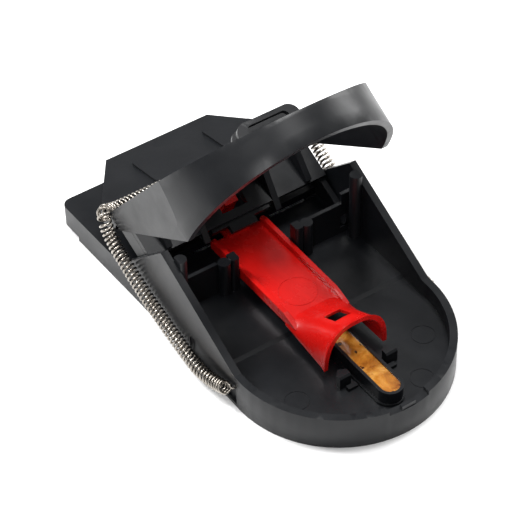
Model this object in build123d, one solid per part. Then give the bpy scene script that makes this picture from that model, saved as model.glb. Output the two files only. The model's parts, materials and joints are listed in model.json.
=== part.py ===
"""Snap mouse trap with a moulded base, a sprung jaw worked by a rear lever,
a tilting trigger with a hood over a bait cup, and one long coil spring.
Millimetres, +Z up, front of the trap towards -Y, shown set (jaw open)."""
from build123d import *
from math import sin, cos, tan, atan2, radians, degrees, pi
import os

os.makedirs("parts", exist_ok=True)

# ---------------------------------------------------------------- dimensions
R_TRAY = 28.5          # outer radius of the round front of the base
Y_REAR = 79.0          # rear edge, measured from the centre of the round front
X_REAR = 29.2          # half width at the rear edge
T_WALL = 1.95          # wall of the tray
RIM_Z = 9.30           # top of the rim at the front
RIM_Y1 = 1.6           # where the rim turns up into the side wall
RIM_Z1 = 9.70
PEAK_Y, PEAK_Z = 31.7, 26.0     # top of the side wall
WALL_END_Y, WALL_END_Z = 51.4, 7.4
DECK_Z = 7.4           # top of the rear deck
FLOOR_Z = 5.0          # tray floor, front part
FLOOR2_Z = 5.5         # tray floor, rear part
CREASE_Y = 8.6         # foot of the ramp between the two floor levels
BAY_END_Y = 46.0       # rear end of the hinge bay
UNDER_Z = 3.2          # roof of the underside pockets
PART_Y0, PART_Y1 = 30.2, 31.2   # cross partition
PART_Z = 15.2
PART_X0 = 13.7         # inner end of each partition
POST_X0, POST_X1 = 8.4, 10.6    # guide posts beside the trigger
POST_Y0, POST_Y1 = 28.3, 31.2
POST_Z = 15.9
COL_X = 25.7           # centre of the column under each wall peak
COL_R = 1.6
COL_Z = 25.6
COL_Y1 = 29.3         # its rear face, ahead of the closed jaw

HINGE_Y, HINGE_Z = 32.56, 9.33  # jaw hinge axis
R_PIN = 1.60           # jaw trunnion
R_BORE = 1.65          # its bore in the side wall
R_KNUCKLE = 2.6
JAW_SET_DEG = 64.2     # tilt of the jaw's lower edge when set
JAW_CY, JAW_CZ = 19.41, 39.13   # centre of that edge when set

R_JAW = 28.45          # outer radius of the jaw band at its lower edge
T_JAW = 1.7
JAW_FLARE = 1.9        # outward draft of the band, degrees
UP_Z0, UP_K = 8.15, 0.270       # band's upper edge: height at the front, slope
LO_K = 0.6056          # slope of the arms' lower edge
JAW_BACK = 31.5        # rear face of the band's cross wall

SPR_OD, SPR_ID = 3.8, 2.6       # coil spring
HOOK_Y, HOOK_Z = 2.1, 5.5       # hole for the hooked front end of each leg
R_HOOK = 0.5

PIV_Y, PIV_Z = 59.0, 10.4       # trigger pivot
R_TPIN, R_TBORE = 1.40, 1.45

CUP_R = 3.3            # half width of the bait cup
CUP_Y0, CUP_Y1 = -23.8, 3.6
CUP_Z0, CUP_Z1 = 5.05, 9.0
CUP_T = 0.78           # its wall

Y_REF = (Y_REAR - R_TRAY) / 2   # middle of the footprint, becomes y = 0


def put(shape, name, color=None):
    """Move from the round front's centre to the middle of the footprint."""
    s = shape.moved(Location((0, -Y_REF, 0)))
    s.label = name
    export_step(s, f"parts/{name}.step")
    return s


def slab_x(points, x0, x1):
    """Solid from a (y, z) polygon, between two x values."""
    pl = Plane(origin=(x0, 0, 0), x_dir=(0, 1, 0), z_dir=(1, 0, 0))
    return extrude(pl * make_face(Polyline(*points, close=True)), x1 - x0)


def box(x0, x1, y0, y1, z0, z1):
    return Pos((x0 + x1) / 2, (y0 + y1) / 2, (z0 + z1) / 2) * Box(x1 - x0, y1 - y0, z1 - z0)


def rod_x(r, x0, x1, y, z):
    return Pos((x0 + x1) / 2, y, z) * Rot(0, 90, 0) * Cylinder(r, x1 - x0)


def both(shape):
    return shape + mirror(shape, Plane.YZ)


def d_outline(r, y_end, x_end):
    """Round front, straight or slightly splayed sides, square rear."""
    arc = ThreePointArc((-r, 0), (0, -r), (r, 0))
    rest = Polyline((r, 0), (r, 44), (x_end, y_end), (-x_end, y_end), (-r, 44), (-r, 0))
    return make_face(arc + rest)


def d_straight(r, y_end):
    arc = ThreePointArc((-r, 0), (0, -r), (r, 0))
    rest = Polyline((r, 0), (r, y_end), (-r, y_end), (-r, 0))
    return make_face(arc + rest)


# ---------------------------------------------------------------- base
outer = extrude(d_outline(R_TRAY, Y_REAR, X_REAR), 30)
outer = fillet(outer.edges().filter_by(Axis.Z).group_by(Axis.Y)[-1], 2.6)
side = [(-R_TRAY - 1, 0), (-R_TRAY - 1, RIM_Z - 0.01), (RIM_Y1, RIM_Z1), (PEAK_Y, PEAK_Z),
        (WALL_END_Y, WALL_END_Z), (Y_REAR + 1, DECK_Z), (Y_REAR + 1, 0)]
base = outer & slab_x(side, -40, 40)

cavity = extrude(d_straight(R_TRAY - T_WALL, 60), 40)
tray_void = cavity & slab_x([(-40, FLOOR_Z), (CREASE_Y, FLOOR_Z), (CREASE_Y + 1.0, FLOOR2_Z),
                             (BAY_END_Y, FLOOR2_Z), (BAY_END_Y, DECK_Z), (60, DECK_Z), (60, 45), (-40, 45)], -40, 40)
base -= tray_void

# underside: hollow shell with cross ribs and a lengthwise rib
pocket = extrude(d_straight(R_TRAY - 2.1, Y_REAR - 2.2), UNDER_Z)
pocket = pocket & box(-40, 40, -40, 43.2, -1, UNDER_Z)
pocket_rear = box(-X_REAR + 2.6, X_REAR - 2.6, 45.2, Y_REAR - 2.2, -1, DECK_Z - 1.9)
under = pocket + pocket_rear
for yr in (-9.0, 9.4, 27.0, 62.0):
    under -= box(-40, 40, yr - 0.7, yr + 0.7, -2, 10)
for xr in (-11.5, 11.5):
    under -= box(xr - 0.7, xr + 0.7, -40, 90, -2, 10)
base -= under

# rear foot line: skirt lifted at the rear, round feet at the corners
base -= box(-40, 40, 71.0, 90, -1, 1.3)
for xf in (-26.2, 26.2):
    base += Pos(xf, 75.2, 0.75) * Cylinder(2.3, 1.5)
base += box(-25.0, -21.5, 73.4, 76.6, 1.2, 5.6) + box(21.5, 25.0, 73.4, 76.6, 1.2, 5.6)
for xf in (-26.2, 26.2):
    base += Pos(xf, 75.2, 3.2) * Cylinder(2.3, 4.6)

# cross partitions, guide posts, columns below the wall peaks
part = box(PART_X0, R_TRAY - 0.8, PART_Y0, PART_Y1, 4.5, PART_Z)
post = box(POST_X0, POST_X1, POST_Y0, POST_Y1, 4.5, POST_Z)
post = fillet(post.edges().filter_by(Axis.Z).group_by(Axis.Y)[0], 0.7)
web = box(POST_X1 - 0.4, PART_X0 + 0.3, PART_Y0, PART_Y1, 4.5, 11.2)
rib = Pos(12.2, 29.6, (4.5 + 15.6) / 2) * Cylinder(1.6, 15.6 - 4.5)
col = Pos(COL_X, COL_Y1 - COL_R, (4.5 + COL_Z) / 2) * Cylinder(COL_R, COL_Z - 4.5)
col = col & box(20, R_TRAY - T_WALL + 0.03, 20, COL_Y1, 0, 30)
col += box(COL_X - 0.6, R_TRAY - 1.0, COL_Y1 - 1.9, COL_Y1 - 1.1, 4.5, 22.5)
base += both(part + post + web + rib + col)
# higher block beside the wall, at the partition's end
blk = box(23.2, R_TRAY - 0.8, PART_Y0, PART_Y1, 4.5, 18.3)
base += both(blk)

# room for the jaw's knuckles, and their blind bores in the side walls
relief = rod_x(R_KNUCKLE + 0.45, 23.0, R_TRAY - T_WALL, HINGE_Y, HINGE_Z)
base -= both(relief)
bore = rod_x(R_BORE, R_TRAY - T_WALL - 0.5, R_TRAY - T_WALL + 1.25, HINGE_Y, HINGE_Z)
base -= both(bore)

# lugs that hold the bait cup, and the low clips beside them
lug_face = make_face(Polyline((5.2, -12.5), (8.4, -12.5), (8.4, -11.0), (7.1, -9.7), (5.2, -10.6), close=True))
lug = Pos(0, 0, 4.6) * extrude(lug_face, 4.1)
lug = chamfer(lug.edges().group_by(Axis.Z)[-1].group_by(Axis.Y)[0], 0.45)
clip = box(4.3, 7.0, -14.2, -12.9, 4.6, 5.9)
base += both(lug + clip)

# notch in the rim for the cup's front tab
base -= box(-5.65, 5.65, -30, -25.0, RIM_Z - 1.05, 12)
base += box(-2.3, 1.5, -28.3, -27.3, RIM_Z - 1.3, RIM_Z + 0.15)

# each side wall is recessed behind the round front for the spring's end,
# which hooks into a small blind hole
recess = box(27.7, 30, 0.9, 20.5, 0.9, 7.9)
recess = chamfer(recess.edges().filter_by(Axis.Z).group_by(Axis.Y)[-1].group_by(Axis.X)[0], 0.5)
base -= both(recess)
base -= both(rod_x(R_HOOK, 26.9, 28.6, HOOK_Y, HOOK_Z))

# trigger bearing ears on the deck
ear = slab_x([(PIV_Y - 2.6, DECK_Z - 0.5), (PIV_Y - 2.6, PIV_Z + 1.0), (PIV_Y - 1.4, PIV_Z + 2.5), (PIV_Y + 1.4, PIV_Z + 2.5),
              (PIV_Y + 2.6, PIV_Z + 1.0), (PIV_Y + 2.6, DECK_Z - 0.5)], 6.4, 8.2)
base += both(ear)
base -= both(rod_x(R_TBORE, 6.0, 8.6, PIV_Y, PIV_Z))

# shallow ejector-pin rings on the tray floor
for xe, ye in ((18.5, -9.5), (-18.5, -9.5), (9.6, -20.6)):
    ring = Pos(xe, ye, FLOOR_Z) * (Cylinder(3.05, 0.24) - Cylinder(2.85, 0.24))
    base -= ring
base = base.solid() if len(base.solids()) == 1 else base
put(base, "base")

# ---------------------------------------------------------------- bait cup and bait
def stadium(r, y0, y1):
    return Pos(0, (y0 + y1) / 2) * SlotOverall(y1 - y0, 2 * r, rotation=90)


cup = extrude(Pos(0, 0, CUP_Z0) * stadium(CUP_R, CUP_Y0, CUP_Y1), CUP_Z1 - CUP_Z0)
cup += extrude(Pos(0, 0, CUP_Z0) * stadium(CUP_R + 0.55, CUP_Y0 - 0.3, CUP_Y1 + 0.3), 0.55)
cup -= extrude(Pos(0, 0, CUP_Z0 + 0.9) * stadium(CUP_R - CUP_T, CUP_Y0 + CUP_T, CUP_Y1 - CUP_T), 10)
put(cup, "bait_cup")

bait = extrude(Pos(0, 0, CUP_Z0 + 0.9) * stadium(CUP_R - CUP_T, CUP_Y0 + CUP_T, CUP_Y1 - CUP_T), CUP_Z1 - CUP_Z0 - 0.9 - 0.45)
put(bait, "bait")

# ---------------------------------------------------------------- trigger
PAN_Z = 9.6            # top of the channel floor
RAIL_Z = 11.2
CH_X = 7.95            # half width of the channel
HOOD_Y = -7.3          # mouth of the hood


def arch(y, w, z0, h, n, steps=16):
    """Closed arch section at y: half width w, height h over z0, exponent n."""
    pts = []
    for i in range(steps + 1):
        a = -pi / 2 + pi * i / steps
        s = (1 if a >= 0 else -1) * abs(sin(a)) ** n
        pts.append((w * s, y, z0 + h * abs(cos(a)) ** n))
    pts[0] = (-w, y, z0)
    pts[-1] = (w, y, z0)
    top = Spline(*pts)
    return make_face(top + Line(pts[-1], pts[0]))


hood_out = loft([arch(9.9, 8.15, 7.9, 1.75, 0.62), arch(HOOD_Y, 8.9, 7.1, 11.5, 0.80)], ruled=True)
hood_in = loft([arch(9.95, 7.25, 7.0, 1.75, 0.66), arch(HOOD_Y - 0.05, 8.1, 5.9, 11.85, 0.80)], ruled=True)
lip_out = loft([arch(HOOD_Y + 1.5, 8.83, 7.1, 10.55, 0.80), arch(HOOD_Y, 9.15, 7.1, 11.9, 0.80)], ruled=True)
hood = (hood_out + lip_out) - hood_in
hood -= box(-12, 12, -12, 12, 0, 7.1)
hood -= box(-2.35, 2.35, -2.2, 2.3, 9, 20)

chan = box(-CH_X, CH_X, 8.6, 42.0, PAN_Z - 1.3, PAN_Z)
rail = slab_x([(6.0, 8.3), (42.0, 8.3), (42.0, RAIL_Z - 0.3), (40.6, RAIL_Z), (11.0, RAIL_Z - 0.2), (7.6, 10.0), (6.0, 9.4)], CH_X - 1.2, CH_X)
rail = rail - hood_in
arm = box(-3.1, 3.1, 41.0, PIV_Y + 1.2, PAN_Z - 1.1, PAN_Z + 0.9)
barrel = rod_x(2.0, -6.15, 6.15, PIV_Y, PIV_Z) + rod_x(R_TPIN, -8.1, 8.1, PIV_Y, PIV_Z)


def sector(r0, r1, a0, a1, x0, x1, steps=10):
    """Ring sector about the jaw hinge, angles from +Y, between two x values."""
    pts = [(HINGE_Y + r0 * cos(radians(a0 + (a1 - a0) * i / steps)), HINGE_Z + r0 * sin(radians(a0 + (a1 - a0) * i / steps))) for i in range(steps + 1)]
    pts += [(HINGE_Y + r1 * cos(radians(a1 - (a1 - a0) * i / steps)), HINGE_Z + r1 * sin(radians(a1 - (a1 - a0) * i / steps))) for i in range(steps + 1)]
    return slab_x(pts, x0, x1)


hook = sector(14.2, 15.9, -1, 34, -1.9, 1.9) + sector(14.2, 16.35, 32.5, 35.5, -1.9, 1.9, 3)
pan_ring = Pos(0, 16.0, PAN_Z) * (Cylinder(4.9, 0.2) - Cylinder(4.7, 0.2))
trigger = hood + chan + both(rail) + arm + barrel + hook - pan_ring
put(trigger, "trigger")

# ---------------------------------------------------------------- jaw
# Built closed: lower edge of the round front in z = 0, centre at the origin.
def up(y):
    return UP_Z0 + UP_K * (y + R_JAW)


shell = extrude(d_straight(R_JAW, JAW_BACK), 30, taper=-JAW_FLARE)
hollow = Pos(0, 0, -0.5) * extrude(d_straight(R_JAW - T_JAW, JAW_BACK - 1.6), 32, taper=-JAW_FLARE)
shell = shell & box(-40, 40, -40, JAW_BACK, -1, 40)
hollow = hollow & box(-40, 40, -40, JAW_BACK - 1.6, -1, 40)
band = shell - hollow
profile = [(-40, 0), (-40, up(-40)), (JAW_BACK + 1, up(JAW_BACK + 1)), (JAW_BACK + 1, LO_K * (JAW_BACK + 1)), (0, 0)]
band = band & slab_x(profile, -40, 40)
band = band & box(-28.6, 28.6, -40, 40, -1, 40)

# cross wall behind, groove floor for the spring, and the lever plate
wall_z0 = 9.0
back = box(-26.15, 26.15, JAW_BACK - 1.5, JAW_BACK, wall_z0, up(JAW_BACK - 1.5) - 0.05)
SPR_JY, SPR_JZ = 33.48, 25.32     # spring's back run, in the jaw's own frame
groove = slab_x([(JAW_BACK - 0.6, 20.9), (JAW_BACK - 0.6, 23.25), (33.9, 23.25), (35.5, 24.2), (35.5, 27.3), (36.9, 28.2), (38.2, 27.2), (38.0, 23.9), (35.4, 20.9)], -28.4, 28.4)
LU = (0.611, 0.792)      # direction along the lever
LN = (0.792, -0.611)     # through its thickness
L0 = (35.33, 26.96)
L1 = (47.4, 42.6)
LT = 1.8
lever_side = slab_x([L0, L1, (L1[0] + LN[0] * LT, L1[1] + LN[1] * LT), (L0[0] + LN[0] * LT, L0[1] + LN[1] * LT)], -40, 40)
lever_len = ((L1[0] - L0[0]) ** 2 + (L1[1] - L0[1]) ** 2) ** 0.5
lp = Plane(origin=(0, L0[0], L0[1]), x_dir=(1, 0, 0), z_dir=(0, LN[0], LN[1]))
outline = make_face(Polyline((-28.4, -0.4), (28.4, -0.4), (28.0, 0.9), (15.4, lever_len), (-15.4, lever_len), (-28.0, 0.9), close=True))
v_dir = lp.y_dir
sgn = 1 if v_dir.Y * LU[0] + v_dir.Z * LU[1] > 0 else -1
if sgn < 0:
    outline = mirror(outline, Plane.XZ)
lever = extrude(lp * outline, LT)
# stiffening rim below the lever's sloping sides and end
skirt_out = extrude(lp * outline, 3.4)
inner_pts = [(-26.2, 0.6), (26.2, 0.6), (25.6, 1.2), (14.2, lever_len - 1.3), (-14.2, lever_len - 1.3), (-25.6, 1.2)]
inner = make_face(Polyline(*[(px, py * sgn) for px, py in inner_pts], close=True))
skirt = skirt_out - extrude(lp * inner, 4.0)
# keep the rim off the groove end
lever = lever + skirt
lip_pts = [(-11.0, lever_len - 0.3), (11.0, lever_len - 0.3), (11.0, lever_len + 0.75), (-11.0, lever_len + 0.75)]
lip = extrude(lp * make_face(Polyline(*[(px, py * sgn) for px, py in lip_pts], close=True)), 1.0)
lip = lip.moved(Location((0, LN[0] * 0.5, LN[1] * 0.5)))
lever += lip
for xr in (-10.55, 10.55):
    rp = [(xr - 1.2, 0.5), (xr + 1.2, 0.5), (xr + 1.2, 12.6), (xr - 1.2, 12.6)]
    rr = extrude(lp * make_face(Polyline(*[(px, py * sgn) for px, py in rp], close=True)), 1.0)
    lever += rr.moved(Location((0, -LN[0] * 0.65, -LN[1] * 0.65)))

# side plates down to the hinge, with knuckles and trunnions
HJ = (HINGE_Y - JAW_CY, HINGE_Z - JAW_CZ)
sa = radians(JAW_SET_DEG)
HJY = HJ[0] * cos(sa) - HJ[1] * sin(sa)
HJZ = HJ[0] * sin(sa) + HJ[1] * cos(sa)
leg = slab_x([(31.65, HJZ + 2.3), (HJY - 0.9, HJZ + 2.3), (HJY - 0.9, HJZ), (HJY + 2.6, HJZ), (36.4, 8.0), (36.6, 22.6), (31.0, 22.6), (31.0, 19.2), (31.65, 18.0)], 24.6, 26.15)
leg += rod_x(R_KNUCKLE, 24.6, 26.15, HJY, HJZ)
leg += rod_x(R_PIN, 26.0, R_TRAY - T_WALL + 1.1, HJY, HJZ)

# centre plate with the catch window and the tongue below it
plate = box(-8.45, 8.45, 30.6, 32.0, 8.0, 22.5) + box(-3.75, 3.75, 30.6, 32.0, 6.1, 8.4)
win = box(-3.7, 3.7, 28, 34, 11.3, 16.1)

# lengthwise webs: inner pair carry the centre tongue, outer pair are shorter
inner_web = slab_x([(31.7, 6.6), (31.2, 6.6), (26.2, 15.4), (22.7, 20.9), (-9.6, up(-9.6) - 2.0), (-9.6, up(-9.6) - 0.7), (JAW_BACK - 0.2, up(JAW_BACK - 0.2) - 0.8), (31.9, 12)], 9.7, 11.4)
outer_web = slab_x([(31.4, 9.4), (28.9, 9.2), (25.6, 16.9), (23.2, 21.6), (JAW_BACK - 0.2, up(JAW_BACK - 0.2) - 0.8), (31.4, 12)], 19.9, 21.5)
tongue = slab_x([(-10.2, up(-10.2) - 1.9), (-10.2, up(-10.2) - 0.6), (JAW_BACK - 0.3, up(JAW_BACK - 0.3) - 0.6), (JAW_BACK - 0.3, up(JAW_BACK - 0.3) - 2.2)], -9.9, 9.9)
loop_pl = Plane(origin=(0, -9.3, 13.2), x_dir=(1, 0, 0), z_dir=(0, -1, 0))
loop = extrude(loop_pl * (Pos(0, 0.6) * RectangleRounded(17.0, 6.0, 2.9) - Pos(0, 0.9) * RectangleRounded(11.3, 2.9, 1.3)), 1.3)
# the loop's slot is backed by a second wall behind it
loop_back = extrude(loop_pl * (Pos(0, 0.5) * RectangleRounded(17.0, 5.8, 2.8)), -1.1)
loop_back = loop_back.moved(Location((0, 3.0, 0.6)))

jaw = band + back + groove + lever + both(leg) + plate + both(inner_web) + both(outer_web) + tongue + loop + loop_back
jaw -= win
jaw = Pos(0, JAW_CY, JAW_CZ) * Rot(-JAW_SET_DEG, 0, 0) * jaw
put(jaw, "jaw")

# ---------------------------------------------------------------- spring
# One coil spring: a leg on each side and a run across the back of the jaw.
LEG = [(29.75, 3.3, 5.4), (29.75, 5.67, 4.2), (29.9, 8.95, 3.4), (30.1, 13.34, 3.15), (30.3, 17.8, 3.75), (30.45, 23.54, 5.2),
       (30.45, 29.52, 6.95), (30.45, 35.59, 8.85), (30.45, 41.06, 11.2), (30.45, 45.23, 13.2), (30.45, 49.40, 15.5), (30.45, 52.3, 17.9), (30.45, 53.9, 20.2)]


def leg_tube(side):
    path = Spline(*[(side * x, y, z) for x, y, z in LEG])
    start = Plane(origin=path @ 0, z_dir=path % 0)
    return sweep(start * Circle(SPR_OD / 2), path=path) - sweep(start * Circle(SPR_ID / 2), path=path)


put(leg_tube(-1), "spring_leg_left")
put(leg_tube(1), "spring_leg_right")

sby = JAW_CY + SPR_JY * cos(sa) + SPR_JZ * sin(sa)
sbz = JAW_CZ - SPR_JY * sin(sa) + SPR_JZ * cos(sa)
run = Pos(0, sby, sbz) * Rot(0, 90, 0) * (Cylinder(SPR_OD / 2, 2 * 28.3) - Cylinder(SPR_ID / 2, 2 * 28.3))
put(run, "spring_back_run")

print("hinge (row frame, mm)", HINGE_Y - Y_REF, HINGE_Z)
print("trigger pivot", PIV_Y - Y_REF, PIV_Z)
print("back run at", round(sby - Y_REF, 2), round(sbz, 2))
print("hinge in the jaw frame", round(HJY, 2), round(HJZ, 2))
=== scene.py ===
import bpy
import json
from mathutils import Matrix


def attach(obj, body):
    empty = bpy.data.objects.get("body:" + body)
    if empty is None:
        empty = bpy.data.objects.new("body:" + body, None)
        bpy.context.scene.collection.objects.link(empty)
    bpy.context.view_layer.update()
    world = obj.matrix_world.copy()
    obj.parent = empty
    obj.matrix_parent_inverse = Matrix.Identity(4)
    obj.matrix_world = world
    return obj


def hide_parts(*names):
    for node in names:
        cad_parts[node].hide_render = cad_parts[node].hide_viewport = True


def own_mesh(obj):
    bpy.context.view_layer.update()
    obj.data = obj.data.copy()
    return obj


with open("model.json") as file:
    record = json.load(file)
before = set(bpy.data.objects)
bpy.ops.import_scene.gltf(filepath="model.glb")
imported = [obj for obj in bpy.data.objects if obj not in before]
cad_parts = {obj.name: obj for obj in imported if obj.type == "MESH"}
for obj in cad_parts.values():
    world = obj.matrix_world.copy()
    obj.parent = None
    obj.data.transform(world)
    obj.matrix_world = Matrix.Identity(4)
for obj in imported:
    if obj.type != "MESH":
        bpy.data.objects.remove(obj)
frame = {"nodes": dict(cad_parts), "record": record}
import bpy
import json
import math
import random
import numpy as np
from mathutils import Matrix, Vector

random.seed(7)
rng = np.random.default_rng(7)
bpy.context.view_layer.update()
MM = 0.001
Y0 = 25.25     # from the round front's centre to the row's origin, mm


# ------------------------------------------------------------ materials
def new_mat(name):
    m = bpy.data.materials.new(name)
    m.use_nodes = True
    nt = m.node_tree
    for n in list(nt.nodes):
        nt.nodes.remove(n)
    out = nt.nodes.new("ShaderNodeOutputMaterial")
    bsdf = nt.nodes.new("ShaderNodeBsdfPrincipled")
    nt.links.new(bsdf.outputs[0], out.inputs[0])
    return m, nt, bsdf


def coords(nt):
    return nt.nodes.new("ShaderNodeTexCoord").outputs["Object"]


def noise(nt, vec, scale, detail=3.0, rough=0.5, distort=0.0):
    n = nt.nodes.new("ShaderNodeTexNoise")
    n.inputs["Scale"].default_value = scale
    n.inputs["Detail"].default_value = detail
    n.inputs["Roughness"].default_value = rough
    n.inputs["Distortion"].default_value = distort
    nt.links.new(vec, n.inputs["Vector"])
    return n.outputs["Fac"]


def stretch(nt, vec, sx, sy, sz):
    m = nt.nodes.new("ShaderNodeMapping")
    m.inputs["Scale"].default_value = (sx, sy, sz)
    nt.links.new(vec, m.inputs["Vector"])
    return m.outputs[0]


def ramp(nt, fac, stops):
    r = nt.nodes.new("ShaderNodeValToRGB")
    els = r.color_ramp.elements
    while len(els) < len(stops):
        els.new(0.5)
    for e, (p, c) in zip(els, stops):
        e.position = p
        e.color = (*c, 1) if isinstance(c, tuple) else (c, c, c, 1)
    nt.links.new(fac, r.inputs[0])
    return r.outputs[0]


def bump(nt, bsdf, layers):
    prev = None
    for fac, strength, dist in layers:
        b = nt.nodes.new("ShaderNodeBump")
        b.inputs["Strength"].default_value = strength
        b.inputs["Distance"].default_value = dist
        nt.links.new(fac, b.inputs["Height"])
        if prev is not None:
            nt.links.new(prev, b.inputs["Normal"])
        prev = b.outputs[0]
    nt.links.new(prev, bsdf.inputs["Normal"])


def dark_plastic():
    """Dyed dark styrene: satin, with a fine moulded grain, faint flow marks and handling scuffs."""
    m, nt, b = new_mat("dark_plastic_detail")
    v = coords(nt)
    tone = noise(nt, v, 60, 4, 0.6)
    col = ramp(nt, tone, [(0.3, (0.0032, 0.0038, 0.0050)), (0.7, (0.0055, 0.0062, 0.0078))])
    specks = ramp(nt, noise(nt, v, 2600, 2, 0.5), [(0.70, 0.0), (0.78, 1.0)])
    mix = nt.nodes.new("ShaderNodeMix")
    mix.data_type = "RGBA"
    mul = nt.nodes.new("ShaderNodeMath")
    mul.operation = "MULTIPLY"
    mul.inputs[1].default_value = 0.08
    nt.links.new(specks, mul.inputs[0])
    nt.links.new(mul.outputs[0], mix.inputs["Factor"])
    nt.links.new(col, mix.inputs[6])
    mix.inputs[7].default_value = (0.075, 0.077, 0.080, 1)
    nt.links.new(mix.outputs[2], b.inputs["Base Color"])
    r1 = ramp(nt, noise(nt, v, 95, 5, 0.65), [(0.3, 0.30), (0.7, 0.42)])
    nt.links.new(r1, b.inputs["Roughness"])
    b.inputs["IOR"].default_value = 1.52
    b.inputs["Specular IOR Level"].default_value = 0.30
    scuff = ramp(nt, noise(nt, stretch(nt, v, 1, 9, 9), 240, 2, 0.4, 0.6), [(0.62, 0.0), (0.68, 1.0)])
    bump(nt, b, [(noise(nt, v, 4200, 2, 0.5), 0.10, 0.00005),
                 (noise(nt, v, 130, 2, 0.5), 0.10, 0.00025),
                 (scuff, 0.03, 0.00003)])
    return m


def red_plastic():
    m, nt, b = new_mat("red_plastic_detail")
    v = coords(nt)
    flow = noise(nt, stretch(nt, v, 3.0, 0.7, 1.0), 90, 4, 0.55, 0.8)
    nt.links.new(ramp(nt, flow, [(0.25, (0.46, 0.0045, 0.0035)), (0.75, (0.58, 0.0075, 0.0055))]), b.inputs["Base Color"])
    nt.links.new(ramp(nt, noise(nt, v, 160, 4, 0.6), [(0.3, 0.20), (0.7, 0.31)]), b.inputs["Roughness"])
    b.inputs["IOR"].default_value = 1.5
    b.inputs["Subsurface Weight"].default_value = 0.05
    b.inputs["Subsurface Radius"].default_value = (0.0016, 0.0004, 0.0003)
    b.inputs["Subsurface Scale"].default_value = 0.6
    bump(nt, b, [(noise(nt, v, 110, 2, 0.5), 0.16, 0.0003), (noise(nt, v, 3200, 2, 0.5), 0.05, 0.00004)])
    return m


def bait_paste():
    m, nt, b = new_mat("bait_paste_detail")
    v = coords(nt)
    body = ramp(nt, noise(nt, v, 230, 5, 0.62, 0.5), [(0.30, (0.20, 0.060, 0.008)), (0.50, (0.42, 0.160, 0.020)), (0.72, (0.66, 0.34, 0.08))])
    vor = nt.nodes.new("ShaderNodeTexVoronoi")
    vor.inputs["Scale"].default_value = 430
    nt.links.new(v, vor.inputs["Vector"])
    dots = ramp(nt, vor.outputs["Distance"], [(0.20, 1.0), (0.30, 0.0)])
    sel = ramp(nt, noise(nt, v, 420, 1, 0.5), [(0.53, 0.0), (0.57, 1.0)])
    mu = nt.nodes.new("ShaderNodeMath")
    mu.operation = "MULTIPLY"
    nt.links.new(dots, mu.inputs[0])
    nt.links.new(sel, mu.inputs[1])
    mix = nt.nodes.new("ShaderNodeMix")
    mix.data_type = "RGBA"
    nt.links.new(mu.outputs[0], mix.inputs["Factor"])
    nt.links.new(body, mix.inputs[6])
    mix.inputs[7].default_value = (0.045, 0.018, 0.008, 1)
    nt.links.new(mix.outputs[2], b.inputs["Base Color"])
    b.inputs["Roughness"].default_value = 0.17
    b.inputs["Subsurface Weight"].default_value = 0.35
    b.inputs["Subsurface Radius"].default_value = (0.003, 0.0012, 0.0004)
    b.inputs["Subsurface Scale"].default_value = 0.5
    b.inputs["Coat Weight"].default_value = 0.5
    b.inputs["Coat Roughness"].default_value = 0.06
    bump(nt, b, [(noise(nt, v, 260, 3, 0.55), 0.45, 0.0006), (mu.outputs[0], 0.25, 0.0002)])
    return m


def spring_steel():
    m, nt, b = new_mat("spring_steel_detail")
    v = coords(nt)
    nt.links.new(ramp(nt, noise(nt, v, 190, 4, 0.6), [(0.3, (0.27, 0.245, 0.215)), (0.7, (0.44, 0.41, 0.37))]), b.inputs["Base Color"])
    b.inputs["Metallic"].default_value = 1.0
    nt.links.new(ramp(nt, noise(nt, v, 900, 4, 0.6), [(0.3, 0.20), (0.7, 0.34)]), b.inputs["Roughness"])
    bump(nt, b, [(noise(nt, v, 5200, 3, 0.6), 0.12, 0.00003)])
    return m


MATS = {"dark_plastic": dark_plastic(), "red_plastic": red_plastic(), "bait_paste": bait_paste(), "spring_steel": spring_steel()}
SLOT_OF = {s["node"]: s["material_slot"] for s in frame["record"]["subparts"]}
for name, o in frame["nodes"].items():
    m = MATS[SLOT_OF[name]]
    if o.data.materials:
        for i in range(len(o.data.materials)):
            o.data.materials[i] = m
    else:
        o.data.materials.append(m)
    if name in ("base", "jaw", "trigger", "bait_cup"):
        w = o.modifiers.new("weld", "WELD")
        w.merge_threshold = 0.000002
        bv = o.modifiers.new("edge", "BEVEL")
        bv.width = 0.00017 if name != "bait_cup" else 0.00013
        bv.segments = 3
        bv.limit_method = "ANGLE"
        bv.angle_limit = math.radians(32)
        bv.harden_normals = True
        bv.use_clamp_overlap = True


# ------------------------------------------------------------ coil spring
def resample(points, step):
    """Points along a smooth curve through the given ones, evenly spaced."""
    p = np.array(points, float)
    t = np.r_[0, np.cumsum(np.linalg.norm(np.diff(p, axis=0), axis=1))]
    # cubic Hermite with finite-difference slopes
    m = np.gradient(p, t, axis=0)
    u = np.linspace(0, t[-1], 2400)
    k = np.clip(np.searchsorted(t, u, side="right") - 1, 0, len(t) - 2)
    h = (t[k + 1] - t[k])[:, None]
    s = ((u - t[k])[:, None]) / h
    q = ((2 * s**3 - 3 * s**2 + 1) * p[k] + (s**3 - 2 * s**2 + s) * h * m[k] + (-2 * s**3 + 3 * s**2) * p[k + 1] + (s**3 - s**2) * h * m[k + 1])
    d = np.r_[0, np.cumsum(np.linalg.norm(np.diff(q, axis=0), axis=1))]
    n = max(8, int(round(d[-1] / step)))
    w = np.linspace(0, d[-1], n + 1)
    return np.stack([np.interp(w, d, q[:, i]) for i in range(3)], 1), d[-1]


def frames_along(p):
    tan = np.gradient(p, axis=0)
    tan /= np.linalg.norm(tan, axis=1)[:, None]
    ref = np.array([1.0, 0, 0]) if abs(tan[0][0]) < 0.9 else np.array([0, 0, 1.0])
    a = ref - tan[0] * (ref @ tan[0])
    a /= np.linalg.norm(a)
    A, B = [], []
    for t in tan:
        a = a - t * (a @ t)
        a /= np.linalg.norm(a)
        A.append(a.copy())
        B.append(np.cross(t, a))
    return np.array(A), np.array(B), tan


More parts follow.
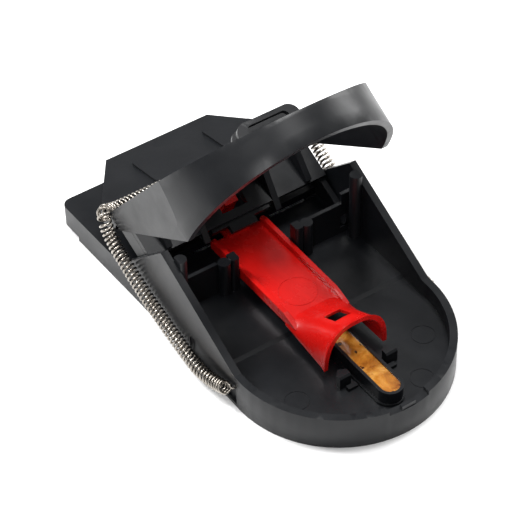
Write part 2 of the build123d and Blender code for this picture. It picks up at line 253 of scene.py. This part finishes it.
def wire_mesh(name, path, r, sides=8):
    """A round wire of radius r along a dense path."""
    A, B, _ = frames_along(path)
    ang = np.linspace(0, 2 * math.pi, sides, endpoint=False)
    ring = path[:, None, :] + r * (np.cos(ang)[None, :, None] * A[:, None, :] + np.sin(ang)[None, :, None] * B[:, None, :])
    verts = ring.reshape(-1, 3) * MM
    n = len(path)
    faces = []
    for i in range(n - 1):
        for j in range(sides):
            a = i * sides + j
            b = i * sides + (j + 1) % sides
            faces.append((a, b, b + sides, a + sides))
    faces.append(tuple(range(sides))[::-1])
    faces.append(tuple((n - 1) * sides + j for j in range(sides)))
    me = bpy.data.meshes.new(name)
    me.from_pydata(verts.tolist(), [], faces)
    me.polygons.foreach_set("use_smooth", [True] * len(me.polygons))
    me.update()
    o = bpy.data.objects.new(name, me)
    bpy.context.scene.collection.objects.link(o)
    me.materials.append(MATS["spring_steel"])
    return o


def helix(points, pitch, rc, per_turn=22, phase=0.0, lead=(), tail=()):
    """Dense centre line of a coil wound round the given curve, with straight or bent ends."""
    p, length = resample(points, pitch / per_turn)
    A, B, _ = frames_along(p)
    turns = length / pitch
    th = phase + np.linspace(0, 2 * math.pi * turns, len(p))
    c = p + rc * (np.cos(th)[:, None] * A + np.sin(th)[:, None] * B)
    parts = []
    if len(lead):
        q, _ = resample(list(lead) + [tuple(c[0])], 0.12)
        parts.append(q[:-1])
    parts.append(c)
    if len(tail):
        q, _ = resample([tuple(c[-1])] + list(tail), 0.12)
        parts.append(q[1:])
    return np.concatenate(parts)


WIRE = 0.31
RC = 1.80 - WIRE
PITCH = 1.13
LEG = [(29.85, 3.3, 5.4), (29.9, 5.67, 4.2), (30.15, 8.95, 3.4), (30.5, 12.9, 3.15), (30.5, 17.8, 3.75), (30.5, 23.54, 5.2),
       (30.5, 29.52, 6.95), (30.5, 35.59, 8.85), (30.5, 41.06, 11.2), (30.5, 45.23, 13.2), (30.5, 49.40, 15.5), (30.5, 52.3, 17.9), (30.5, 53.9, 20.2)]
for side, sx in (("left", -1), ("right", 1)):
    pts = [(sx * x, y - Y0, z) for x, y, z in LEG]
    hook = [(sx * 27.2, 2.1 - Y0, 5.5), (sx * 27.9, 2.1 - Y0, 5.5), (sx * 28.5, 2.15 - Y0, 5.5), (sx * 28.9, 2.5 - Y0, 5.6), (sx * 28.9, 3.0 - Y0, 6.0)]
    line = helix(pts, PITCH, RC, lead=hook)
    o = wire_mesh("coil_leg_" + side, line, WIRE)
    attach(o, "spring_" + side)
    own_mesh(o)
    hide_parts("spring_leg_" + side)

BY, BZ = 31.53, 20.01
back = [(-30.35, 54.3 - Y0, 20.75), (-29.9, 55.4 - Y0, 21.3), (-28.9, 56.4 - Y0, 21.1), (-27.2, BY, 20.3)]
mid = [(x, BY, BZ) for x in np.linspace(-24, 24, 13)]
path = back + mid + [(-x, y, z) for x, y, z in back[::-1]]
o = wire_mesh("coil_back_run", helix(path, PITCH, RC), WIRE)
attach(o, "jaw")
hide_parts("spring_back_run")


# ------------------------------------------------------------ stage
def stage_mat(name, rgb, rough=0.9):
    m, nt, b = new_mat(name)
    v = coords(nt)
    lo = tuple(c * 0.985 for c in rgb)
    nt.links.new(ramp(nt, noise(nt, v, 30, 3, 0.5), [(0.3, lo), (0.7, rgb)]), b.inputs["Base Color"])
    b.inputs["Roughness"].default_value = rough
    b.inputs["Specular IOR Level"].default_value = 0.1
    return m


bpy.ops.mesh.primitive_plane_add(size=6, location=(0, 0, 0))
floor = bpy.context.object
floor.name = "studio_floor"
floor.data.materials.append(stage_mat("floor", (0.94, 0.94, 0.94)))


def area(name, loc, target, size, power, color=(1, 1, 1), size_y=None):
    d = bpy.data.lights.new(name, "AREA")
    d.energy = power
    d.color = color
    d.size = size
    if size_y:
        d.shape = "RECTANGLE"
        d.size_y = size_y
    o = bpy.data.objects.new(name, d)
    bpy.context.scene.collection.objects.link(o)
    o.location = loc
    o.rotation_euler = (Vector(target) - Vector(loc)).to_track_quat("-Z", "Y").to_euler()
    return o


area("key", (-0.35, 0.60, 0.70), (0, 0.01, 0.03), 0.36, 11.0, size_y=0.26)
area("fill_front", (-0.55, -0.50, 0.80), (0, 0, 0.02), 0.22, 3.0)
area("side_right", (0.85, 0.15, 0.45), (0, 0, 0.02), 0.26, 4.0, size_y=0.45)
area("top", (0.15, 0.05, 1.10), (0, 0, 0.0), 0.28, 9.0)

world = bpy.data.worlds.new("studio")
bpy.context.scene.world = world
world.use_nodes = True
bg = world.node_tree.nodes["Background"]
bg.inputs[0].default_value = (1, 1, 1, 1)
bg.inputs[1].default_value = 0.30
bpy.context.scene.view_settings.view_transform = "Standard"
bpy.context.scene.view_settings.look = "None"

cam_d = bpy.data.cameras.new("camera")
cam = bpy.data.objects.new("camera", cam_d)
bpy.context.scene.collection.objects.link(cam)
cam_d.sensor_width = 36.0
cam_d.sensor_fit = "HORIZONTAL"
cam_d.lens = 148.717
cam_d.clip_start = 0.01
cam_d.clip_end = 20
rot = [[0.82026581, 0.40380891, -0.4050955], [-0.57188729, 0.56607322, -0.59372219], [-0.0104366, 0.71867898, 0.69526369]]
mw = Matrix(rot).to_4x4()
mw.translation = Vector((-0.217916, -0.314586, 0.381429))
cam.matrix_world = mw
bpy.context.scene.camera = cam
